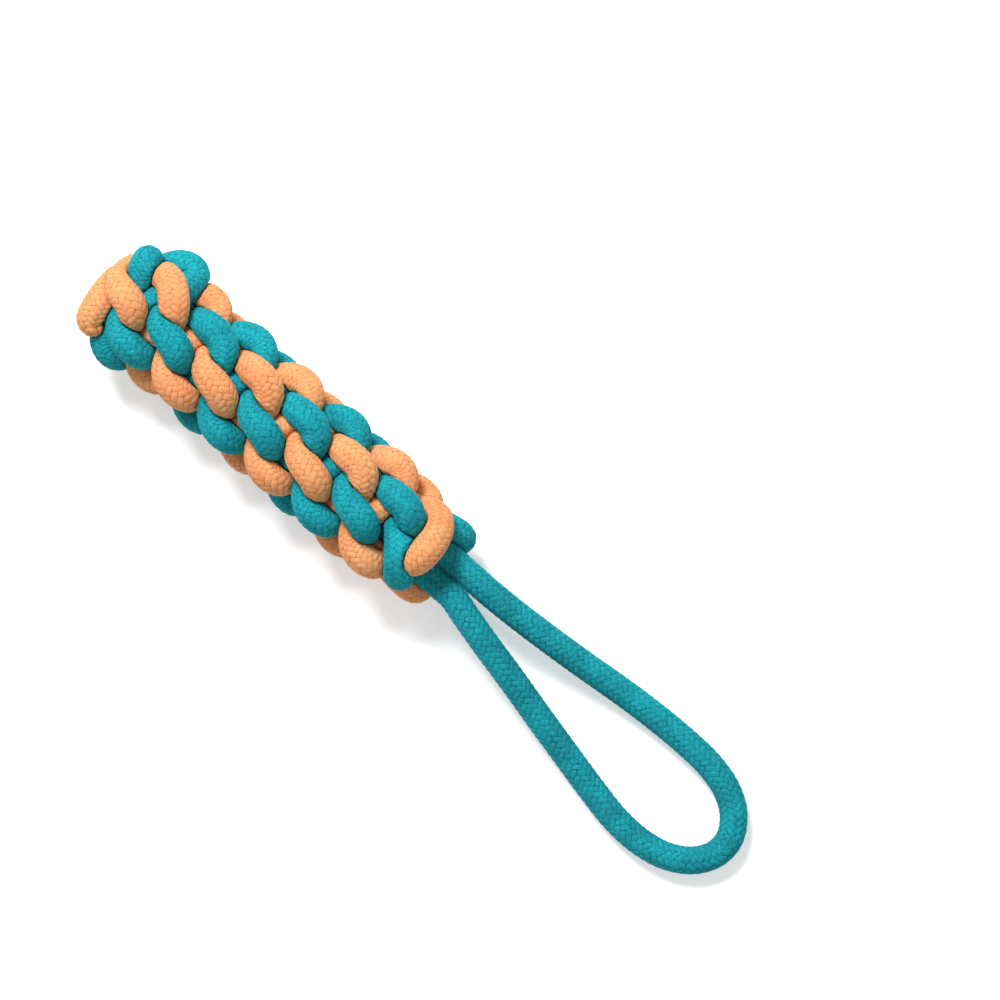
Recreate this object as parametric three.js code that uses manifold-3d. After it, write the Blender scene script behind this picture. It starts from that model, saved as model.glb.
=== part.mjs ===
// A rope dog toy: four braided cotton strands, two of each colour, crowned round the two legs of the hand
// loop, which leaves one end of the body and turns back into it. Millimetres, +Z up. The body lies along X
// on its bights, with the loop at +X, and the origin is on the floor under the middle of the body.

import * as THREE from "three";
import { mergeVertices } from "three/addons/utils/BufferGeometryUtils.js";
import Module from "manifold-3d";

// Driving dimensions.
const ropeDiameter = 10; // the handle's rope
const pressedDiameter = 11.2; // a crowned strand where no neighbour presses on it
const bodyDiameter = 46.4; // over the bights
const levelHeight = 11.14; // one round of crowning, along the body
const seatGap = 0.3; // left between pieces that touch
const pressGap = 1.1; // left between strands, whose flat facets come nearer than their corners
const floorCutShare = 0.1; // of a strand's diameter, cut flat where the body stands on it

// The crowning. Every strand makes one bight in each round, and goes on round the body by three eighths.
const strandCount = 4;
const collarRound = 12; // counted from the first whole bight
const turnPerRound = THREE.MathUtils.degToRad(135);
const firstBightAngle = THREE.MathUtils.degToRad(105); // from +Y towards +Z, of the first strand
const tuckRadius = 8; // of a strand's centreline where it is tucked under its neighbours
const bightSwing = 4.2; // of a strand about its steady advance, along the body
const bightLean = THREE.MathUtils.degToRad(-18); // and round it
const peakLagShare = 0.04; // of a round, by which a bight stands proudest after its middle
const farTwist = THREE.MathUtils.degToRad(-11); // of the weave at the far end, round the axis,
const farTwistRounds = [0, 6]; // and where it eases off

// The far end, where the first half bights come over the rim from the middle.
const farBightRadii = [4.5, 15.4, 17, 17.2]; // of each strand's centreline
const farLevelShare = -0.2; // of a round, where they lie
const farSwings = [0, 2, 5, 2.5]; // by which they go in as they dive
const farLean = THREE.MathUtils.degToRad(-18);
const farTurns = [0, -18, 17, 0].map(THREE.MathUtils.degToRad); // of each strand there
const farBlendShares = [-0.75, 0.25];
const layerHeight = 3.6; // by which the upper strands lie over the lower ones there
const layerShares = [[-0.8, -0.3], [], [-1.3, -0.8], []]; // where each upper strand comes off them
const crossingShares = [-1.5, -1]; // the upper strands' way from the body's axis to the rim,
const crossingAngle = THREE.MathUtils.degToRad(-75); // and round the body on that way
const turnInShares = [-1.6, -1]; // the lower strands' way from the legs' ends to the rim,
const turnInAngle = THREE.MathUtils.degToRad(-60); // and round the body on theirs
const sinkDepth = 8; // of their starts, into the body
const sinkShares = [-2, -1.4];
const legMeetShare = -1.85; // where the lower strands start, end to end with the legs
const firstSwells = [0, 2.6, 0, 3.6]; // the lower strands' first bights are pushed out,
const firstRises = [0, 7.5, 0, 10]; // and along, by the half bights before them
const pushShare = 0.75; // of a round, over which the push eases
const rideLeans = [0, 0, 14, 0].map(THREE.MathUtils.degToRad); // one second bight rides on a pushed one:
const rideLifts = [0, 0, 0.8, 0]; // it goes more steeply round the body, and stands prouder

// The collar, the last round, which is laid round the rim, and the tails tucked under it.
const collarRadii = [13.8, 13.8, 15.6, 13.8]; // of each strand's centreline
const collarSwing = 2;
const collarLeans = [2, 2, 22, 2].map(THREE.MathUtils.degToRad);
const collarTurns = [-72, -48, -49, -68].map(THREE.MathUtils.degToRad); // of each strand's bight
const collarRises = [12, 12, 5, 2]; // towards the handle
// Where each strand goes over from the body to the collar, counted from the collar's round.
const collarBlendShares = [[-0.65, -0.25], [-0.65, -0.25], [-0.65, -0.25], [-0.9, -0.35]];
const tailShares = [0.2, 0.6]; // from the collar's round
const tailEndShare = 0.33;
const tailPull = 2; // by which the tails are drawn back into the body

// The core: the two ends of the handle's rope, side by side.
const legSpread = 9.8; // between the legs' centrelines
const legReach = 19; // from the collar's round to the end of the body, where the legs leave it
const legStep = 3;

// The hand loop's route over the floor, from one leg to the other: along the body's axis from its end,
// and across it. The loop comes down from the body's axis to the floor within loopLanding.
const loopRoute = [
  [0, 4.9], [5, 4.9], [13, 4.9], [25.4, 5.3], [41.4, 6.4], [57.4, 7.8], [73.4, 9.5], [89.4, 10.7],
  [103.4, 11.1], [115.4, 10.5], [125.4, 8], [133.4, 2.8], [138, -4.7], [137.8, -12.3], [133.4, -19.2],
  [125.4, -24.3], [115.4, -26.7], [103.4, -26.7], [89.4, -24.3], [73.4, -20.8], [57.4, -17.2],
  [41.4, -13.4], [25.4, -9.9], [13, -6.9], [5, -4.9], [0, -4.9],
];
const loopLanding = 90;
const loopStep = 5;

// How finely the ropes are divided.
const ringsPerRound = 14;
const strandSides = 8;
const ropeSides = 8;
const samplesPerRound = 36; // of the centrelines that press on one another
const selfShare = 0.9; // of its own bend's radius that a strand may fill
const nearSpan = 2; // nearer points of a rope are straight ahead or behind, and press on nothing

const strandRadius = pressedDiameter / 2;
const ropeRadius = ropeDiameter / 2;
const bightRadius = bodyDiameter / 2 - strandRadius;
const cutDepth = pressedDiameter * floorCutShare;
const facetRadius = strandRadius * Math.cos(Math.PI / strandSides); // to the middle of a facet
const standTilt = firstBightAngle - Math.PI / 2; // of the lowest bights, from straight under the axis
const axisHeight = bightRadius * Math.cos(standTilt) + facetRadius - cutDepth;
const handleExit = collarRound * levelHeight + legReach;

// How far a round has got between two others, eased at both.
const rises = (round, [from, to]) => THREE.MathUtils.smoothstep(round, from, to);

// How far along a strand is in the far end, the body and the collar, as three weights that add up to one.
function zones(strand, round) {
  const far = 1 - rises(round, farBlendShares);
  const collar = rises(round - collarRound, collarBlendShares[strand]);
  return { far, body: 1 - far - collar, collar };
}

const isLower = (strand) => strand % 2 === 1;

// How far out a strand's centreline is at a given round, and at which angle. It comes from the middle of the
// body, over the far end's rim, and is crowned from there on.
function crowning(strand, round) {
  const zone = zones(strand, round);
  const phase = 2 * Math.PI * round;
  const farCrest = farBightRadii[strand] * zone.far;
  const crest = bightRadius * zone.body + farCrest + collarRadii[strand] * zone.collar;
  const beat = Math.cos(phase - 2 * Math.PI * peakLagShare);
  const crowned = (crest + tuckRadius) / 2 + ((crest - tuckRadius) / 2) * beat;
  const ride = push(round - 1);
  const leans = bightLean * zone.body + farLean * zone.far + collarLeans[strand] * zone.collar;
  const lean = leans + rideLeans[strand] * ride;
  const turn = farTurns[strand] * zone.far + collarTurns[strand] * zone.collar;
  const twist = farTwist * (1 - rises(round, farTwistRounds));
  const place = firstBightAngle + (strand * 2 * Math.PI) / strandCount + twist;
  const crownedAngle = place + turnPerRound * round + lean * Math.sin(phase) + turn;
  const started = rises(round, isLower(strand) ? turnInShares : crossingShares);
  const firstRadius = isLower(strand) ? legSpread / 2 : seatGap / 2;
  const firstAngle = place - turnPerRound + (isLower(strand) ? turnInAngle : crossingAngle);
  const swell = firstSwells[strand] * push(round);
  const firstCrowned = (round < -1 ? crest : crowned) + swell;
  return {
    radius: THREE.MathUtils.lerp(firstRadius, firstCrowned, started) + rideLifts[strand] * ride,
    angle: THREE.MathUtils.lerp(firstAngle, crownedAngle, started),
  };
}

// How much of a push at round 0 a strand has at a given round.
const push = (round) => 1 - rises(Math.abs(round), [0, pushShare]);

// How far along the body a strand's centreline is at a given round, from the first round.
function advance(strand, round) {
  const zone = zones(strand, round);
  const phase = 2 * Math.PI * round;
  const swing = (bightSwing * zone.body + collarSwing * zone.collar) * Math.sin(phase);
  const dip = round < -1 ? 0 : (farSwings[strand] * zone.far * (1 - Math.cos(phase))) / 2;
  const level = THREE.MathUtils.lerp(round, farLevelShare, zone.far) * levelHeight;
  const rise = collarRises[strand] * zone.collar * Math.cos(phase);
  const pull = tailPull * rises(round - collarRound, tailShares);
  const layer = isLower(strand) ? 0 : -layerHeight * (1 - rises(round, layerShares[strand]));
  const sunk = isLower(strand) ? sinkDepth * (1 - rises(round, sinkShares)) : 0;
  return level + swing + dip + rise - pull + layer + sunk + firstRises[strand] * push(round);
}

// A point of one strand's centreline.
function strandPoint(strand, round) {
  const { radius, angle } = crowning(strand, round);
  return new THREE.Vector3(advance(strand, round), radius * Math.cos(angle), radius * Math.sin(angle));
}

// Points at even steps of a function of one number.
function stepped(from, to, perUnit, pointAt) {
  const steps = Math.round((to - from) * perUnit);
  return Array.from({ length: steps + 1 }, (_, i) => pointAt(from + ((to - from) * i) / steps));
}

function strandLine(strand, perRound) {
  const start = isLower(strand) ? legMeetShare : crossingShares[0];
  return stepped(start, collarRound + tailEndShare, perRound, (round) => strandPoint(strand, round));
}

// The legs start where the lower strands do, and go the other way.
const legStart = advance(1, legMeetShare) + seatGap;
const legLine = (side, step) =>
  stepped(legStart, handleExit, 1 / step, (x) => new THREE.Vector3(x, (side * legSpread) / 2, 0));

// The directions of travel along a row of points.
function tangents(points) {
  return points.map((_, i) => {
    const ahead = points[Math.min(i + 1, points.length - 1)];
    const behind = points[Math.max(i - 1, 0)];
    return ahead.clone().sub(behind).normalize();
  });
}

// Spokes round each point, square to the travel. Where the rope lies level they keep their first side up,
// and otherwise they turn as little as they can from one point to the next.
function spokes(points, sides, firstUp, level) {
  let up = firstUp;
  return tangents(points).map((tangent) => {
    const guide = level ? firstUp : up;
    up = guide.clone().addScaledVector(tangent, -guide.dot(tangent)).normalize();
    const across = new THREE.Vector3().crossVectors(tangent, up);
    return Array.from({ length: sides }, (_, j) => {
      const angle = (Math.PI * (2 * j + 1)) / sides;
      return up.clone().multiplyScalar(Math.cos(angle)).addScaledVector(across, Math.sin(angle));
    });
  });
}

// How far a spoke from a point reaches before it is nearer to a neighbouring rope's centreline, less half
// of the gap between them, or so near the rope's own bend that it would fold.
function reach(centre, spoke, full, neighbours, own) {
  let most = full;
  const between = new THREE.Vector3();
  for (const point of neighbours) {
    between.subVectors(point, centre);
    const towards = between.dot(spoke);
    const distance = between.length();
    if (towards > 0) {
      most = Math.min(most, ((distance - pressGap) * distance) / (2 * towards));
    }
  }
  for (const point of own) {
    between.subVectors(point, centre);
    const towards = between.dot(spoke);
    if (towards > 0) {
      most = Math.min(most, (selfShare * between.lengthSq()) / (2 * towards));
    }
  }
  return most;
}

// The rings of a rope that is pressed by its neighbours.
function pressedRings(points, full, sides, neighbours, own, firstUp) {
  const rays = spokes(points, sides, firstUp, false);
  return points.map((centre, i) => {
    const within = (point, span) => point.distanceTo(centre) > nearSpan && point.distanceTo(centre) < span;
    const near = neighbours.filter((point) => within(point, 2 * full + pressGap));
    const bend = own.filter((point) => within(point, 2 * full));
    return rays[i].map((ray) =>
      centre.clone().addScaledVector(ray, reach(centre, ray, full, near, bend)),
    );
  });
}

// One closed body over a row of rings, with a fan over each end.
function loft(rings) {
  const sides = rings[0].length;
  const middle = (ring) =>
    ring.reduce((sum, point) => sum.add(point), new THREE.Vector3()).divideScalar(ring.length);
  const points = [...rings.flat(), middle(rings[0]), middle(rings[rings.length - 1])];
  const [head, tail] = [points.length - 2, points.length - 1];
  const faces = [];
  for (let i = 0; i + 1 < rings.length; i++) {
    for (let j = 0; j < sides; j++) {
      const a = i * sides + j;
      const b = i * sides + ((j + 1) % sides);
      faces.push(a, b, b + sides, a, b + sides, a + sides);
    }
  }
  const last = (rings.length - 1) * sides;
  for (let j = 0; j < sides; j++) {
    const next = (j + 1) % sides;
    faces.push(head, next, j, tail, last + j, last + next);
  }
  const geometry = new THREE.BufferGeometry().setFromPoints(points);
  geometry.setIndex(faces);
  return geometry;
}

const wasm = await Module();
wasm.setup();

// A geometry as a solid, and a solid as a geometry.
function solidOf(geometry) {
  const bare = geometry.clone();
  bare.deleteAttribute("normal");
  bare.deleteAttribute("uv");
  const merged = mergeVertices(bare);
  return new wasm.Manifold(
    new wasm.Mesh({
      numProp: 3,
      vertProperties: new Float32Array(merged.attributes.position.array),
      triVerts: new Uint32Array(merged.index.array),
    }),
  );
}

function geometryOf(solid) {
  const mesh = solid.getMesh();
  const geometry = new THREE.BufferGeometry();
  geometry.setAttribute("position", new THREE.BufferAttribute(mesh.vertProperties, mesh.numProp));
  geometry.setIndex(new THREE.BufferAttribute(mesh.triVerts, 1));
  return geometry;
}

const farReach = layerHeight + facetRadius - farLevelShare * levelHeight;
const bodyLength = handleExit + farReach;
const middleX = handleExit - bodyLength / 2;

// Everything under the floor, cut off the strands that the body stands on.
function floorBlock() {
  const block = new THREE.BoxGeometry(2 * bodyLength, 2 * bodyDiameter, bodyDiameter);
  block.translate(middleX, 0, -bodyDiameter / 2 - axisHeight);
  return solidOf(block);
}

const cotton = (colour) => new THREE.MeshStandardMaterial({ color: colour, roughness: 0.95, metalness: 0 });
const teal = cotton(0x0f93a3);
const orange = cotton(0xf5a56b);

const toy = new THREE.Group();
toy.position.set(-middleX, 0, axisHeight);

function addPiece(name, geometry, material) {
  geometry.computeVertexNormals();
  const mesh = new THREE.Mesh(geometry, material);
  mesh.name = name;
  toy.add(mesh);
}

// The least distance between points of one strand that are more than half a round, but not over two, apart.
function leastSelfGap(rings) {
  let least = Infinity;
  for (let i = 0; i < rings.length; i++) {
    const later = rings.slice(i + ringsPerRound / 2 + 1, i + 2 * ringsPerRound).flat();
    for (const here of rings[i]) {
      least = later.reduce((gap, there) => Math.min(gap, here.distanceTo(there)), least);
    }
  }
  return least;
}

const fineStrands = Array.from({ length: strandCount }, (_, i) => strandLine(i, samplesPerRound));
const fineLegs = [1, -1].map((side) => legLine(side, levelHeight / samplesPerRound));
const allLines = [...fineStrands, ...fineLegs];
const othersThan = (line) => allLines.filter((other) => other !== line).flat();

function addStrand(strand) {
  const own = fineStrands[strand];
  const line = strandLine(strand, ringsPerRound);
  const firstUp = isLower(strand) ? new THREE.Vector3(0, 0, 1) : new THREE.Vector3(1, 0, 0);
  const rings = pressedRings(line, strandRadius, strandSides, othersThan(own), own, firstUp);
  const solid = solidOf(loft(rings)).subtract(floorBlock());
  const colourName = strand % 2 ? "teal" : "orange";
  const name = `strand_${colourName}_${Math.floor(strand / 2) + 1}`;
  console.log(`${name}: least gap to itself ${leastSelfGap(rings).toFixed(2)} mm`);
  addPiece(name, geometryOf(solid), strand % 2 ? teal : orange);
}

function addLeg(name, which) {
  const line = legLine(which === 0 ? 1 : -1, legStep);
  const firstUp = new THREE.Vector3(0, 0, 1);
  const rings = pressedRings(line, ropeRadius, ropeSides, othersThan(fineLegs[which]), [], firstUp);
  addPiece(name, loft(rings), teal);
}

// The loop's route: in plan as given, and down from the body's axis to the floor in an easy curve.
function loopLine() {
  const restHeight = ropeRadius * Math.cos(Math.PI / ropeSides) - axisHeight;
  const plan = loopRoute.map(([along, across]) => new THREE.Vector3(along, across, 0));
  const curve = new THREE.CatmullRomCurve3(plan, false, "centripetal");
  return curve.getSpacedPoints(Math.round(curve.getLength() / loopStep)).map((point) => {
    const height = restHeight * THREE.MathUtils.smoothstep(point.x, 0, loopLanding);
    return new THREE.Vector3(handleExit + seatGap + point.x, point.y, height);
  });
}

function addLoop() {
  const line = loopLine();
  const rays = spokes(line, ropeSides, new THREE.Vector3(0, 0, 1), true);
  const rings = line.map((centre, i) =>
    rays[i].map((ray) => centre.clone().addScaledVector(ray, ropeRadius)),
  );
  addPiece("handle_loop", loft(rings), teal);
}

for (let strand = 0; strand < strandCount; strand++) addStrand(strand);
addLeg("core_leg_left", 0);
addLeg("core_leg_right", 1);
addLoop();

export default toy;
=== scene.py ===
"""The looks of a rope dog toy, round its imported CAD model: four braided cotton strands, two of each colour,
crowned round the two legs of the hand loop. The ropes' sizes are in millimetres, the scene is in metres."""

import math

import bpy
import numpy as np
from mathutils import Matrix, Vector


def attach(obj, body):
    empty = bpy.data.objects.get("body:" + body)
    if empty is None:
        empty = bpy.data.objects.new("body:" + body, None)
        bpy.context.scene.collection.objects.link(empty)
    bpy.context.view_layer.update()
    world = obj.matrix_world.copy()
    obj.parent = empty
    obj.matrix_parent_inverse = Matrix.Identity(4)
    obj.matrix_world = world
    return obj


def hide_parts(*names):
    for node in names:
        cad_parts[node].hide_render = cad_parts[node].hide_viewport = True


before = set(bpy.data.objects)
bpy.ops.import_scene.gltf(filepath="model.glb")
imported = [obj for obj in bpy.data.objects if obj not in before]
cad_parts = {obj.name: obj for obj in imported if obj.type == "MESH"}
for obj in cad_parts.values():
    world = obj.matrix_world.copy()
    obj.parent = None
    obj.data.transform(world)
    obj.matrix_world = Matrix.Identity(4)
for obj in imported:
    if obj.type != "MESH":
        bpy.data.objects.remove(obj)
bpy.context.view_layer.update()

MM = 0.001

# The photograph's frame, looked at from straight above. The camera's height and the sensor's width are free,
# and the lens is worked out from them.
IMAGE_SIDE = 1000  # pixels
ORIGIN_PIXEL = (278.8, 425.3)  # where the frame's origin shows
PIXELS_PER_MM = 2.8
AXIS_TILT = math.radians(41.4)  # of the body's axis, down to the right
CAMERA_HEIGHT = 1.5  # metres over the axis
SENSOR_WIDTH = 36

# The ropes and the body, as in the CAD model.
ROPE_DIAMETER = 10
PRESSED_DIAMETER = 11.2  # of a crowned strand where no neighbour presses on it
BODY_DIAMETER = 46.4
LEVEL_HEIGHT = 11.14  # one round of crowning, along the body
FLOOR_CUT_SHARE = 0.1  # of a strand's diameter, cut flat where the body stands on it
CAD_SIDES = 8  # of the CAD model's strands

# The crowning: a strand makes one bight in each round, and goes on round the body by three eighths of a turn.
STRAND_COUNT = 4
COLLAR_ROUND = 12  # counted from the first whole bight
TURN_PER_ROUND = math.radians(135)
FIRST_BIGHT_ANGLE = math.radians(105)  # from +Y towards +Z, of the first strand
TUCK_RADIUS = 8  # of a strand's centreline where it is tucked under its neighbours
BIGHT_SWING = 4.2  # of a strand about its steady advance, along the body
BIGHT_LEAN = math.radians(-18)  # and round it
PEAK_LAG_SHARE = 0.04  # of a round, by which a bight stands proudest after its middle
FAR_TWIST = math.radians(-11)  # of the weave at the far end, round the axis,
FAR_TWIST_ROUNDS = (0, 6)  # and where it eases off

# The far end, where the first half bights come over the rim from the middle. The shares are of a round.
FAR_BIGHT_RADII = (4.5, 15.4, 17, 17.2)  # of each strand's centreline
FAR_LEVEL_SHARE = -0.2  # where they lie
FAR_SWINGS = (0, 2, 5, 2.5)  # by which they go in as they dive
FAR_LEAN = math.radians(-18)
FAR_TURNS = np.radians((0, -18, 17, 0))  # of each strand there
FAR_BLEND_SHARES = (-0.75, 0.25)
LAYER_HEIGHT = 3.6  # by which the upper strands lie over the lower ones there
LAYER_SHARES = ((-0.8, -0.3), None, (-1.3, -0.8), None)  # where each upper strand comes off them
CROSSING_SHARES = (-1.5, -1)  # the upper strands' way from the body's axis to the rim,
CROSSING_ANGLE = math.radians(-75)  # and round the body on that way
TURN_IN_SHARES = (-1.6, -1)  # the lower strands' way from the legs' ends to the rim,
TURN_IN_ANGLE = math.radians(-60)  # and round the body on theirs
SINK_DEPTH = 8  # of their starts, into the body
SINK_SHARES = (-2, -1.4)
LEG_MEET_SHARE = -1.85  # where the lower strands start, end to end with the legs
FIRST_SWELLS = (0, 2.6, 0, 3.6)  # the lower strands' first bights are pushed out,
FIRST_RISES = (0, 7.5, 0, 10)  # and along, by the half bights before them
PUSH_SHARE = 0.75  # over which the push eases
RIDE_LEANS = np.radians((0, 0, 14, 0))  # one second bight rides on a pushed one:
RIDE_LIFTS = (0, 0, 0.8, 0)  # it goes more steeply round the body, and stands prouder

# The collar, the last round, and the tails tucked under it.
COLLAR_RADII = (13.8, 13.8, 15.6, 13.8)  # of each strand's centreline
COLLAR_SWING = 2
COLLAR_LEANS = np.radians((2, 2, 22, 2))
COLLAR_TURNS = np.radians((-72, -48, -49, -68))  # of each strand's bight
COLLAR_RISES = (12, 12, 5, 2)  # towards the handle
COLLAR_BLEND_SHARES = ((-0.65, -0.25), (-0.65, -0.25), (-0.65, -0.25), (-0.9, -0.35))
TAIL_SHARES = (0.2, 0.6)  # from the collar's round
TAIL_END_SHARE = 0.33
TAIL_PULL = 2  # by which the tails are drawn back into the body

# The core's two legs, and the hand loop's route over the floor, as places along the body's axis from its end
# and across it.
LEG_SPREAD = 9.8  # between the legs' centrelines
LEG_REACH = 19  # from the collar's round to the end of the body, where the legs leave it
LOOP_ROUTE = [
    (0, 4.9), (5, 4.9), (13, 4.9), (25.4, 5.3), (41.4, 6.4), (57.4, 7.8), (73.4, 9.5), (89.4, 10.7),
    (103.4, 11.1), (115.4, 10.5), (125.4, 8), (133.4, 2.8), (138, -4.7), (137.8, -12.3), (133.4, -19.2),
    (125.4, -24.3), (115.4, -26.7), (103.4, -26.7), (89.4, -24.3), (73.4, -20.8), (57.4, -17.2),
    (41.4, -13.4), (25.4, -9.9), (13, -6.9), (5, -4.9), (0, -4.9),
]
LOOP_LANDING = 90  # along the body's axis, where the loop comes down to the floor

STRAND_RADIUS = PRESSED_DIAMETER / 2
FACET_RADIUS = STRAND_RADIUS * math.cos(math.pi / CAD_SIDES)
ROPE_RADIUS = ROPE_DIAMETER / 2
BIGHT_RADIUS = BODY_DIAMETER / 2 - STRAND_RADIUS
STAND_TILT = FIRST_BIGHT_ANGLE - math.pi / 2
AXIS_HEIGHT = BIGHT_RADIUS * math.cos(STAND_TILT) + FACET_RADIUS - PRESSED_DIAMETER * FLOOR_CUT_SHARE
HANDLE_EXIT = COLLAR_ROUND * LEVEL_HEIGHT + LEG_REACH
FAR_REACH = LAYER_HEIGHT + FACET_RADIUS - FAR_LEVEL_SHARE * LEVEL_HEIGHT
MIDDLE_X = (HANDLE_EXIT - FAR_REACH) / 2

# How the ropes press on one another.
STRAND_GAP = 0.6  # left between a crowned strand and its neighbours
LEG_GAP = 0.1  # and between a leg and its
NEAR_SPAN = 2  # nearer points of a rope are straight ahead or behind, and press on nothing
SELF_SHARE = 0.9  # of its own bend's radius that a strand may fill
PRESS_STEP = 1  # between the points of a centreline that press on the others
PRESS_PASSES = 4  # that even out the pressed faces
LEAST_TOWARDS = 1e-6  # of a spoke's way, so that no limit divides by nothing

# The braid: plaits each way round the rope, and how far along it one is from the next. A crowned strand's
# pitch is along its middle, and half as much again on the outside of its bends.
PLAITS = 10
ROPE_PITCH = 2.6
STRAND_PITCH = 1.65
FLOAT = 2  # plaits that one crosses over, and then as many under
REPEAT = 2 * FLOAT
PLAIT_RELIEF = 0.3
PLAIT_CROWN = 2.6  # how square a plait's section is
MEAN_HEIGHT = 0.5  # of the braid's relief, which lies at the rope's radius
YARNS_PER_PLAIT = 3
YARN_ROUNDNESS = 0.6
RING_STEP = 0.38  # between the rings of a rope's mesh
SIDES = 84
LINE_STEPS = 6000  # of a centreline's formula
CURVE_STEPS = 60  # between two points of the loop's route
BAKE_MARGIN = 0.01  # of the bake's square

# The cotton's grains and its painted shade: how fine each is, the span of it that shows, and how much of
# another colour it brings.
# The scales are per metre.
NOISE_DETAIL = 3
DYE_SCALE = 95
DYE_SPAN = (0.35, 0.68)
TINT_SHARE = 0.14  # of the pale colour, at most, from float to float
FIBRE_STRETCH = (20, 4)  # across a plait and along it
FIBRE_SPAN = (0.35, 0.7)
FIBRE_SHARE = 0.65
SPECKLE_SCALE = 1400
SPECKLE_SPAN = (0.38, 0.58)
SPECKLE_SHARE = 0.5
# Painted shade between the yarns: the share of the deep colour there.
YARN_SHADE_SHARE = 0.2
# Painted shade in the braid's creases, where its height is low, coming and going with a noise.
CREASE_SHADE_SPAN = (0.12, 0.55)  # of the braid's height
CREASE_SHADE_SHARE = 0.75
CREASE_SHADE_SCALE = 300  # of the noise that lets creases come and go
CREASE_SHADE_SHOWN_SPAN = (0.35, 0.6)
LEAST_CREASE_SHADE = 0.2
FUZZ_SCALE = 2600

# The cotton's relief under the mesh's own: the weight of each grain, and their depth together.
PLAIT_BUMP = 1.2
YARN_BUMP = 0.5
FIBRE_BUMP = 0.55
FUZZ_BUMP = 0.5
BUMP_STRENGTH = 0.6
BUMP_DEPTH = 0.12

# The cotton's finish, and each dye's colours: the even one, the deep one (also the painted shade between
# yarns), the fibres' pale one, and the painted shade of the braid's creases.
COTTON_ROUGHNESS = 0.92
COTTON_SPECULAR = 0.12
SHEEN_WEIGHT = 0.25
SHEEN_ROUGHNESS = 0.45
TEAL = ((0.002, 0.39, 0.46, 1), (0, 0.16, 0.21, 1), (0.05, 0.63, 0.7, 1), (0, 0.05, 0.07, 1))
ORANGE = ((0.93, 0.41, 0.15, 1), (0.86, 0.23, 0.06, 1), (0.96, 0.68, 0.38, 1), (0.38, 0.08, 0.02, 1))

# The studio, in metres and watts. A lamp's direction is to the photograph's right, its top and off the floor.
WHITE = (1, 1, 1, 1)
FLOOR_COLOUR = (0.97, 0.97, 0.97, 1)
FLOOR_HALF = 4.0
FLOOR_GLOW = 0.4  # which only the camera sees
WORLD_LEVEL = 0.25
LAMP_DISTANCE = 1.6
KEY_LAMP = {"direction": (-0.35, 0.9, 1.2), "size": 0.45, "power": 28}
FILL_LAMP = {"direction": (0.5, -0.6, 1.2), "size": 1.6, "power": 4}


def rises(value, span):
    """How far a value is between the span's two ends, eased at both."""
    share = np.clip((value - span[0]) / (span[1] - span[0]), 0, 1)
    return share * share * (3 - 2 * share)


def mix(start, end, share):
    """The value a share of the way from start to end."""
    return start + (end - start) * share


def push(rounds):
    """How much of a push at round 0 a strand has at the given rounds."""
    return 1 - rises(np.abs(rounds), (0, PUSH_SHARE))


def crowning(strand, rounds, zones):
    """How far out a strand's centreline is, and at which angle from +Y towards +Z."""
    far, body, collar = zones
    lower = strand % 2 == 1
    phase = 2 * math.pi * rounds
    crest = BIGHT_RADIUS * body + FAR_BIGHT_RADII[strand] * far + COLLAR_RADII[strand] * collar
    beat = np.cos(phase - 2 * math.pi * PEAK_LAG_SHARE)
    crowned = (crest + TUCK_RADIUS) / 2 + (crest - TUCK_RADIUS) / 2 * beat
    first_crowned = np.where(rounds < -1, crest, crowned) + FIRST_SWELLS[strand] * push(rounds)
    ride = push(rounds - 1)
    leans = BIGHT_LEAN * body + FAR_LEAN * far + COLLAR_LEANS[strand] * collar
    lean = leans + RIDE_LEANS[strand] * ride
    turn = FAR_TURNS[strand] * far + COLLAR_TURNS[strand] * collar
    twist = FAR_TWIST * (1 - rises(rounds, FAR_TWIST_ROUNDS))
    place = FIRST_BIGHT_ANGLE + strand * 2 * math.pi / STRAND_COUNT + twist
    crowned_angle = place + TURN_PER_ROUND * rounds + lean * np.sin(phase) + turn
    started = rises(rounds, TURN_IN_SHARES if lower else CROSSING_SHARES)
    first_radius = LEG_SPREAD / 2 if lower else 0
    first_angle = place - TURN_PER_ROUND + (TURN_IN_ANGLE if lower else CROSSING_ANGLE)
    radius = mix(first_radius, first_crowned, started) + RIDE_LIFTS[strand] * ride
    return radius, mix(first_angle, crowned_angle, started)


def advance(strand, rounds, zones):
    """How far along the body a strand's centreline is, from the first round."""
    far, body, collar = zones
    phase = 2 * math.pi * rounds
    swing = (BIGHT_SWING * body + COLLAR_SWING * collar) * np.sin(phase)
    dip = np.where(rounds < -1, 0, FAR_SWINGS[strand] * far * (1 - np.cos(phase)) / 2)
    level = mix(rounds, FAR_LEVEL_SHARE, far) * LEVEL_HEIGHT
    rise = COLLAR_RISES[strand] * collar * np.cos(phase)
    pull = TAIL_PULL * rises(rounds - COLLAR_ROUND, TAIL_SHARES)
    if strand % 2:
        start = SINK_DEPTH * (1 - rises(rounds, SINK_SHARES))
    else:
        start = -LAYER_HEIGHT * (1 - rises(rounds, LAYER_SHARES[strand]))
    return level + swing + dip + rise - pull + start + FIRST_RISES[strand] * push(rounds)


def strand_points(strand, rounds):
    """The centreline of one strand at the given rounds, from the body's first round."""
    far = 1 - rises(rounds, FAR_BLEND_SHARES)
    collar = rises(rounds - COLLAR_ROUND, COLLAR_BLEND_SHARES[strand])
    zones = (far, 1 - far - collar, collar)
    radius, angle = crowning(strand, rounds, zones)
    x = advance(strand, rounds, zones)
    return np.stack([x, radius * np.cos(angle), radius * np.sin(angle)], axis=1)


def strand_line(strand):
    """A strand's centreline from its start at the far end to its tucked tail."""
    start = LEG_MEET_SHARE if strand % 2 else CROSSING_SHARES[0]
    return strand_points(strand, np.linspace(start, COLLAR_ROUND + TAIL_END_SHARE, LINE_STEPS))


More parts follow.
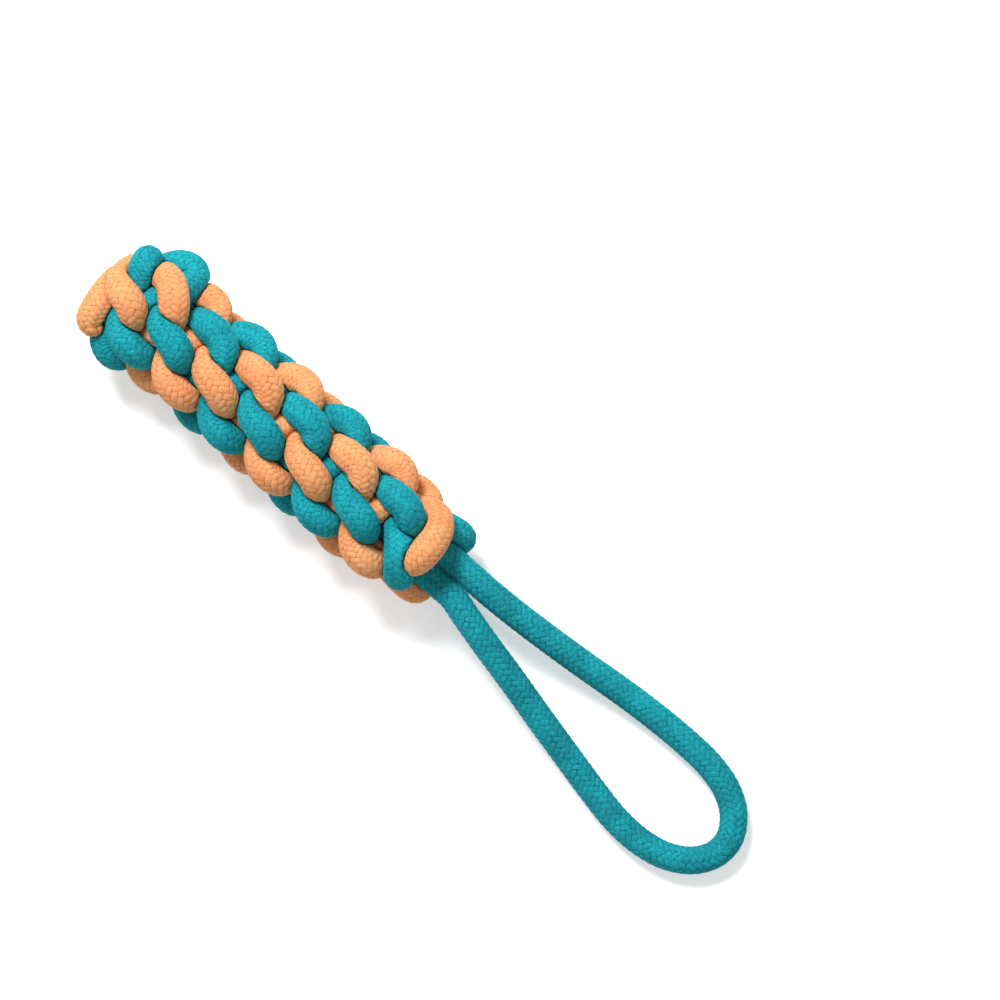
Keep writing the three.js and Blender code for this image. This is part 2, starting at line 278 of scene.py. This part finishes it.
def leg_line(side):
    """The centreline of one of the core's two legs, between the lower strands' starts and the hand loop. The
    left one runs towards the loop and the right one away from it, as their rope does."""
    start = strand_points(1, np.array([LEG_MEET_SHARE]))[0, 0]
    x = np.linspace(start, HANDLE_EXIT, LINE_STEPS)[::side]
    return np.stack([x, np.full_like(x, side * LEG_SPREAD / 2), np.zeros_like(x)], axis=1)


def curve_through(points):
    """A smooth centripetal curve through the points."""
    points = np.array(points, float)
    padded = np.concatenate([[2 * points[0] - points[1]], points, [2 * points[-1] - points[-2]]])
    share = np.linspace(0, 1, CURVE_STEPS, endpoint=False)[:, None]
    square, cube = share**2, share**3
    stretches = []
    for before, start, end, after in zip(padded, padded[1:], padded[2:], padded[3:]):
        gaps = (start - before, end - start, after - end)
        first, middle, last = (math.sqrt(np.linalg.norm(gap)) for gap in gaps)
        leave = (start - before) / first - (end - before) / (first + middle) + (end - start) / middle
        arrive = (end - start) / middle - (after - start) / (middle + last) + (after - end) / last
        stretches.append(
            start * (2 * cube - 3 * square + 1)
            + leave * middle * (cube - 2 * square + share)
            + end * (3 * square - 2 * cube)
            + arrive * middle * (cube - square)
        )
    return np.concatenate([*stretches, points[-1:]])


def loop_line():
    """The hand loop's centreline: in plan as its route goes, and down to the floor in an easy curve."""
    plan = curve_through(LOOP_ROUTE)
    height = (ROPE_RADIUS - AXIS_HEIGHT) * rises(plan[:, 0], (0, LOOP_LANDING))
    return np.stack([HANDLE_EXIT + plan[:, 0], plan[:, 1], height], axis=1)


def even_points(points, step):
    """The points of a line at even steps of its length, and how far along it each one is."""
    along = np.concatenate([[0], np.cumsum(np.linalg.norm(np.diff(points, axis=0), axis=1))])
    marks = np.linspace(0, along[-1], round(along[-1] / step) + 1)
    return np.stack([np.interp(marks, along, axis) for axis in points.T], axis=1), marks


def in_row_frame(points):
    """Points in millimetres from the body's first round, as metres in the row's frame."""
    return (points - [MIDDLE_X, 0, -AXIS_HEIGHT]) * MM


def spokes(points, first_up, level):
    """Unit spokes round each point, square to the line. They keep the first one up where the rope lies level,
    and otherwise turn as little as they can along the line."""
    first_up = np.array(first_up, float)
    along = np.gradient(points, axis=0)
    along /= np.linalg.norm(along, axis=1, keepdims=True)
    ups = np.empty_like(points)
    up = first_up
    for i, tangent in enumerate(along):
        guide = first_up if level else up
        up = guide - tangent * (guide @ tangent)
        up /= np.linalg.norm(up)
        ups[i] = up
    across = np.cross(along, ups)
    angle = np.linspace(0, 2 * math.pi, SIDES, endpoint=False)[None, :, None]
    return ups[:, None] * np.cos(angle) + across[:, None] * np.sin(angle)


def pressed_reach(points, rays, full, gap, others, own):
    """How far each spoke goes before it is nearer to another rope's centreline, reaches the floor, or folds
    in the rope's own bend."""
    reach = np.full(rays.shape[:2], full)
    for i, centre in enumerate(points):
        between = others - centre
        distance = np.linalg.norm(between, axis=1)
        near = (distance > NEAR_SPAN) & (distance < 2 * full + gap)
        if near.any():
            towards = np.maximum(rays[i] @ between[near].T, LEAST_TOWARDS)
            limit = (distance[near] - gap) * distance[near] / (2 * towards)
            reach[i] = np.minimum(reach[i], limit.min(axis=1))
        down = np.maximum(-rays[i][:, 2], LEAST_TOWARDS)
        reach[i] = np.minimum(reach[i], (AXIS_HEIGHT + centre[2]) / down)
        between = own - centre
        squares = (between**2).sum(axis=1)
        bend = (squares > NEAR_SPAN**2) & (squares < (2 * full) ** 2)
        towards = np.maximum(rays[i] @ between[bend].T, LEAST_TOWARDS)
        limit = SELF_SHARE * squares[bend] / (2 * towards)
        reach[i] = np.minimum(reach[i], limit.min(axis=1))
    return reach


def evened(field):
    """A field over rings and sides, evened out with its neighbours."""
    for _ in range(PRESS_PASSES):
        field = (np.roll(field, 1, axis=1) + 2 * field + np.roll(field, -1, axis=1)) / 4
        padded = np.concatenate([field[:1], field, field[-1:]])
        field = (padded[:-2] + 2 * field + padded[2:]) / 4
    return field


def braid_height(around, steps):
    """The braid's height from 0 in its grooves to 1, at a share of a turn round the rope and pitches along
    it. Each plait floats over two that cross it and dives under two, in columns of chevrons."""
    first = around * PLAITS + steps
    second = -around * PLAITS + steps
    crossing = np.mod(np.floor(first) - np.floor(second), REPEAT)
    on_top = crossing < FLOAT
    across = np.where(on_top, first, second) % 1 - 0.5
    floated = np.where(on_top, FLOAT - 1 - crossing + second % 1, crossing - FLOAT + first % 1)
    rounded = 1 - np.abs(2 * across) ** PLAIT_CROWN
    return np.sqrt(np.clip(np.sin(math.pi * floated / FLOAT), 0, 1) * rounded)


def rope_mesh(name, points, steps, rays, reach):
    """The mesh of a braided rope, with the braid's own coordinates and a map to bake through."""
    rings = len(points)
    around = np.arange(SIDES)[None, :] / SIDES
    relief = PLAIT_RELIEF * (braid_height(around, steps[:, None]) - MEAN_HEIGHT)
    surface = points[:, None] + rays * (reach + relief)[:, :, None]
    middles = [surface[0].mean(axis=0), surface[-1].mean(axis=0)]
    corners = np.concatenate([surface.reshape(-1, 3), middles])
    row = np.arange(rings - 1)[:, None] * SIDES
    side = np.arange(SIDES)[None, :]
    after = (side + 1) % SIDES
    quads = np.stack([row + side, row + after, row + after + SIDES, row + side + SIDES], axis=2)
    head, tail, last = rings * SIDES, rings * SIDES + 1, (rings - 1) * SIDES
    fans = [(head, int(b), int(a)) for a, b in zip(side[0], after[0])]
    fans += [(tail, int(last + a), int(last + b)) for a, b in zip(side[0], after[0])]
    mesh = bpy.data.meshes.new(name)
    mesh.from_pydata(in_row_frame(corners).tolist(), [], quads.reshape(-1, 4).tolist() + fans)
    mesh.polygons.foreach_set("use_smooth", [True] * (rings - 1) * SIDES + [False] * len(fans))
    add_maps(mesh, rings, steps)
    return mesh


def add_maps(mesh, rings, steps):
    """The braid map, of turns round the rope and pitches along it, and a map to bake the rope in strips."""
    row = np.repeat(np.arange(rings - 1), SIDES)
    side = np.tile(np.arange(SIDES), rings - 1)
    corner_row = np.stack([row, row, row + 1, row + 1], axis=1)
    corner_side = np.stack([side, side + 1, side + 1, side], axis=1)
    braid = np.stack([corner_side / SIDES, steps[corner_row]], axis=2).reshape(-1, 2)
    strips = max(1, round(math.sqrt(rings * RING_STEP / (2 * math.pi * STRAND_RADIUS))))
    per_strip = math.ceil((rings - 1) / strips)
    strip = (row // per_strip)[:, None]
    u = mix(BAKE_MARGIN, 1 - 2 * BAKE_MARGIN, (corner_row - strip * per_strip) / per_strip)
    v = (strip + mix(BAKE_MARGIN, 1 - BAKE_MARGIN, corner_side / SIDES)) / strips
    baked = np.stack([u, v], axis=2).reshape(-1, 2)
    fan_corners = 2 * SIDES * 3
    spot = np.array([1 - BAKE_MARGIN, 0.5])
    end_spot = np.tile([spot, spot + [BAKE_MARGIN / 2, 0], spot + [0, BAKE_MARGIN / 2]], (2 * SIDES, 1))
    for name, places, ends in (("braid", braid, np.zeros((fan_corners, 2))), ("OFBake", baked, end_spot)):
        layer = mesh.uv_layers.new(name=name)
        layer.uv.foreach_set("vector", np.concatenate([places, ends]).astype(np.float32).ravel())


def rope_piece(name, mesh, material, node):
    """An object of a rope's mesh, which stands for its CAD node."""
    mesh.materials.append(material)
    piece = bpy.data.objects.new(name, mesh)
    bpy.context.scene.collection.objects.link(piece)
    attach(piece, "root")
    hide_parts(node)
    return piece


class Nodes:
    """A material's node tree, with short ways to add to it."""

    def __init__(self, tree):
        self.tree = tree

    def add(self, kind, **settings):
        """A node of a kind, with its properties."""
        node = self.tree.nodes.new(kind)
        for key, value in settings.items():
            setattr(node, key, value)
        return node

    def put(self, socket, value):
        """Links a socket to another, or sets it."""
        if isinstance(value, bpy.types.NodeSocket):
            self.tree.links.new(value, socket)
        else:
            socket.default_value = value

    def math(self, operation, *values):
        """The result of a Math node."""
        node = self.add("ShaderNodeMath", operation=operation)
        for socket, value in zip(node.inputs, values):
            self.put(socket, value)
        return node.outputs[0]

    def blend(self, share, start, end):
        """The colour a share of the way from start to end. The node's colours are numbered, because its other
        kinds of value have sockets of the same names."""
        node = self.add("ShaderNodeMix", data_type="RGBA")
        self.put(node.inputs["Factor"], share)
        self.put(node.inputs[6], start)
        self.put(node.inputs[7], end)
        return node.outputs[2]

    def ranged(self, value, span, to_span):
        """A value moved from one span to another, kept within it."""
        node = self.add("ShaderNodeMapRange")
        for socket, number in zip(node.inputs, (value, *span, *to_span)):
            self.put(socket, number)
        return node.outputs[0]

    def vector(self, x, y, z):
        """A vector of three values."""
        node = self.add("ShaderNodeCombineXYZ")
        for socket, value in zip(node.inputs, (x, y, z)):
            self.put(socket, value)
        return node.outputs[0]

    def noise(self, place, scale):
        """Even noise at a place."""
        node = self.add("ShaderNodeTexNoise")
        self.put(node.inputs["Vector"], place)
        self.put(node.inputs["Scale"], scale)
        self.put(node.inputs["Detail"], NOISE_DETAIL)
        return node.outputs["Fac"]


def braid_nodes(nodes):
    """Of the plait on top: its number, the way it goes, the places across and along it, and its height."""
    braid = nodes.add("ShaderNodeSeparateXYZ")
    nodes.put(braid.inputs[0], nodes.add("ShaderNodeUVMap", uv_map="braid").outputs[0])
    turns = nodes.math("MULTIPLY", braid.outputs[0], float(PLAITS))
    first = nodes.math("ADD", braid.outputs[1], turns)
    second = nodes.math("SUBTRACT", braid.outputs[1], turns)
    first_plait = nodes.math("FLOOR", first)
    second_plait = nodes.math("FLOOR", second)
    crossing = nodes.math("FLOORED_MODULO", nodes.math("SUBTRACT", first_plait, second_plait), float(REPEAT))
    under = nodes.math("GREATER_THAN", crossing, FLOAT - 0.5)

    def chosen(on_top, beneath):
        """The first way's value where it is on top, and else the second's."""
        kept = nodes.math("MULTIPLY", on_top, nodes.math("SUBTRACT", 1.0, under))
        return nodes.math("MULTIPLY_ADD", beneath, under, kept)

    across = nodes.math("FRACT", chosen(first, second))
    floated = chosen(
        nodes.math("SUBTRACT", nodes.math("ADD", nodes.math("FRACT", second), FLOAT - 1.0), crossing),
        nodes.math("ADD", nodes.math("FRACT", first), nodes.math("SUBTRACT", crossing, float(FLOAT))),
    )
    arch = nodes.math("SINE", nodes.math("MULTIPLY", floated, math.pi / FLOAT))
    edge = nodes.math("ABSOLUTE", nodes.math("MULTIPLY_ADD", across, 2.0, -1.0))
    rounded = nodes.math("SUBTRACT", 1.0, nodes.math("POWER", edge, PLAIT_CROWN))
    height = nodes.math("SQRT", nodes.math("MAXIMUM", nodes.math("MULTIPLY", arch, rounded), 0.0))
    return chosen(first_plait, second_plait), under, across, chosen(second, first), height


def cotton(name, colour, deep_dye_and_shade, pale, crease_shade):
    """Braided cotton: plaits of yarns in chevrons, with uneven dye, pale fibres, a speckle, painted shade
    between the yarns and in the braid's creases, and a fine fuzz."""
    material = bpy.data.materials.new(name)
    material.use_nodes = True
    nodes = Nodes(material.node_tree)
    shader = material.node_tree.nodes["Principled BSDF"]
    plait, way, across, along, plait_height = braid_nodes(nodes)
    yarn_wave = nodes.math("MULTIPLY", across, math.pi * YARNS_PER_PLAIT)
    yarn = nodes.math("POWER", nodes.math("ABSOLUTE", nodes.math("SINE", yarn_wave)), YARN_ROUNDNESS)
    float_number = nodes.math("FLOOR", nodes.math("MULTIPLY", nodes.math("ADD", along, plait), 1 / REPEAT))
    tint = nodes.add("ShaderNodeTexWhiteNoise", noise_dimensions="3D")
    nodes.put(tint.inputs["Vector"], nodes.vector(plait, float_number, way))
    stretched = [nodes.math("MULTIPLY", *pair) for pair in zip((across, along), FIBRE_STRETCH)]
    fibre = nodes.noise(nodes.vector(*stretched, plait), 1)
    place = nodes.add("ShaderNodeTexCoord").outputs["Object"]
    fuzz = nodes.noise(place, FUZZ_SCALE)
    dye = nodes.noise(place, DYE_SCALE)
    speckle = nodes.noise(place, SPECKLE_SCALE)
    # Painted shade in the braid's creases, where the braid is low, stronger in some places than in others.
    crease_shade_shown = nodes.ranged(nodes.noise(place, CREASE_SHADE_SCALE), CREASE_SHADE_SHOWN_SPAN, (LEAST_CREASE_SHADE, 1))
    crease_shade_mask = nodes.math("MULTIPLY", nodes.ranged(plait_height, CREASE_SHADE_SPAN, (CREASE_SHADE_SHARE, 0)), crease_shade_shown)

    ground = nodes.blend(nodes.ranged(dye, DYE_SPAN, (0, 1)), deep_dye_and_shade, colour)
    tinted = nodes.blend(nodes.ranged(tint.outputs[0], (0, 1), (0, TINT_SHARE)), ground, pale)
    fibred = nodes.blend(nodes.ranged(fibre, FIBRE_SPAN, (0, FIBRE_SHARE)), tinted, pale)
    speckled = nodes.blend(nodes.ranged(speckle, SPECKLE_SPAN, (SPECKLE_SHARE, 0)), fibred, deep_dye_and_shade)
    # Painted shade between the yarns, towards the deep colour, which also serves as the uneven dye's deeper
    # tone.
    shaded = nodes.blend(nodes.ranged(yarn, (0, 1), (YARN_SHADE_SHARE, 0)), speckled, deep_dye_and_shade)
    # The creases' painted shade goes over all the other colours.
    nodes.put(shader.inputs["Base Color"], nodes.blend(crease_shade_mask, shaded, crease_shade))

    height = nodes.math("MULTIPLY", plait_height, PLAIT_BUMP)
    for grain, depth in ((yarn, YARN_BUMP), (fibre, FIBRE_BUMP), (fuzz, FUZZ_BUMP)):
        height = nodes.math("MULTIPLY_ADD", grain, depth, height)
    bump = nodes.add("ShaderNodeBump")
    nodes.put(bump.inputs["Strength"], BUMP_STRENGTH)
    nodes.put(bump.inputs["Distance"], BUMP_DEPTH * MM)
    nodes.put(bump.inputs["Height"], height)
    nodes.put(shader.inputs["Normal"], bump.outputs[0])
    shader.inputs["Roughness"].default_value = COTTON_ROUGHNESS
    shader.inputs["Specular IOR Level"].default_value = COTTON_SPECULAR
    shader.inputs["Sheen Weight"].default_value = SHEEN_WEIGHT
    shader.inputs["Sheen Roughness"].default_value = SHEEN_ROUGHNESS
    shader.inputs["Sheen Tint"].default_value = pale
    return material


def make_camera():
    """The photograph's view: from straight above, with the body's axis running down to the right."""
    right = Vector((math.cos(AXIS_TILT), math.sin(AXIS_TILT), 0))
    up = Vector((-math.sin(AXIS_TILT), math.cos(AXIS_TILT), 0))
    aside = (IMAGE_SIDE / 2 - ORIGIN_PIXEL[0]) / PIXELS_PER_MM * MM
    above = (ORIGIN_PIXEL[1] - IMAGE_SIDE / 2) / PIXELS_PER_MM * MM
    data = bpy.data.cameras.new("camera")
    data.sensor_width = SENSOR_WIDTH
    data.lens = SENSOR_WIDTH * CAMERA_HEIGHT * PIXELS_PER_MM / (IMAGE_SIDE * MM)
    camera = bpy.data.objects.new("camera", data)
    place = right * aside + up * above + Vector((0, 0, CAMERA_HEIGHT + AXIS_HEIGHT * MM))
    turned = Matrix((right, up, (0, 0, 1))).transposed().to_4x4()
    camera.matrix_world = Matrix.Translation(place) @ turned
    bpy.context.scene.collection.objects.link(camera)
    bpy.context.scene.camera = camera
    return right, up


def make_lamp(name, right, up, direction, size, power):
    """A soft square lamp, aimed at the toy from a direction."""
    data = bpy.data.lights.new(name, "AREA")
    data.size = size
    data.energy = power
    lamp = bpy.data.objects.new(name, data)
    towards = right * direction[0] + up * direction[1] + Vector((0, 0, direction[2]))
    lamp.location = towards.normalized() * LAMP_DISTANCE
    lamp.rotation_euler = towards.to_track_quat("Z", "Y").to_euler()
    bpy.context.scene.collection.objects.link(lamp)


def make_world():
    """A plain white surround, dimmer as a light than the camera sees it."""
    world = bpy.data.worlds.new("studio")
    world.use_nodes = True
    nodes = Nodes(world.node_tree)
    background = world.node_tree.nodes["Background"]
    path = nodes.add("ShaderNodeLightPath")
    seen = nodes.math("MAXIMUM", path.outputs["Is Camera Ray"], path.outputs["Is Glossy Ray"])
    seen = nodes.math("MAXIMUM", seen, path.outputs["Is Transmission Ray"])
    background.inputs["Color"].default_value = WHITE
    nodes.put(background.inputs["Strength"], nodes.ranged(seen, (0, 1), (WORLD_LEVEL, 1)))
    bpy.context.scene.world = world


def make_floor():
    """A wide white floor, which the camera sees a little lighter than it is."""
    mesh = bpy.data.meshes.new("floor")
    corners = [(x * FLOOR_HALF, y * FLOOR_HALF, 0) for x, y in ((-1, -1), (1, -1), (1, 1), (-1, 1))]
    mesh.from_pydata(corners, [], [(0, 1, 2, 3)])
    material = bpy.data.materials.new("floor")
    material.use_nodes = True
    nodes = Nodes(material.node_tree)
    shader = material.node_tree.nodes["Principled BSDF"]
    shader.inputs["Base Color"].default_value = FLOOR_COLOUR
    shader.inputs["Roughness"].default_value = 1
    shader.inputs["Specular IOR Level"].default_value = 0
    shader.inputs["Emission Color"].default_value = WHITE
    seen = nodes.add("ShaderNodeLightPath").outputs["Is Camera Ray"]
    nodes.put(shader.inputs["Emission Strength"], nodes.ranged(seen, (0, 1), (0, FLOOR_GLOW)))
    mesh.materials.append(material)
    floor = bpy.data.objects.new("floor", mesh)
    bpy.context.scene.collection.objects.link(floor)


photo_right, photo_up = make_camera()

teal = cotton("teal_cotton", *TEAL)
orange = cotton("orange_cotton", *ORANGE)

# The hand loop, a free stretch of rope from one leg to the other.
loop_points, loop_marks = even_points(loop_line(), RING_STEP)
loop_rays = spokes(loop_points, (0, 0, 1), True)
loop_reach = np.full(loop_rays.shape[:2], ROPE_RADIUS)
loop_mesh = rope_mesh("hand_loop", loop_points, loop_marks / ROPE_PITCH, loop_rays, loop_reach)
hand_loop = rope_piece("hand_loop", loop_mesh, teal, "handle_loop")

# The crowned strands and the core's legs: each piece's name, CAD node, colour, centreline, radius, gap to its
# neighbours, first spoke, braid's pitch, and how far along the braid its first point is. One braid runs
# through the left leg, the hand loop and the right leg.
ropes = []
for strand in range(STRAND_COUNT):
    colour_name = ("orange", "teal")[strand % 2]
    number = strand // 2 + 1
    first_up = ((1, 0, 0), (0, 0, 1))[strand % 2]
    names = (f"rope_{colour_name}_{number}", f"strand_{colour_name}_{number}", colour_name)
    ropes.append((*names, strand_line(strand), STRAND_RADIUS, STRAND_GAP, first_up, STRAND_PITCH, 0))
for name, side in (("left", 1), ("right", -1)):
    line = leg_line(side)
    braid_start = -np.linalg.norm(line[-1] - line[0]) if side > 0 else loop_marks[-1]
    names = (f"core_{name}", f"core_leg_{name}", "teal")
    ropes.append((*names, line, ROPE_RADIUS, LEG_GAP, (0, 0, 1), ROPE_PITCH, braid_start))

pressing = [even_points(rope[3], PRESS_STEP)[0] for rope in ropes]
for i, (name, node, colour_name, line, full, gap, first_up, pitch, braid_start) in enumerate(ropes):
    points, marks = even_points(line, RING_STEP)
    rays = spokes(points, first_up, False)
    others = np.concatenate(pressing[:i] + pressing[i + 1 :])
    reach = evened(pressed_reach(points, rays, full, gap, others, pressing[i]))
    mesh = rope_mesh(name, points, (braid_start + marks) / pitch, rays, reach)
    material = {"orange": orange, "teal": teal}[colour_name]
    rope_piece(name, mesh, material, node)

make_floor()
make_world()
make_lamp("key", photo_right, photo_up, **KEY_LAMP)
make_lamp("fill", photo_right, photo_up, **FILL_LAMP)
bpy.context.scene.view_settings.view_transform = "Standard"
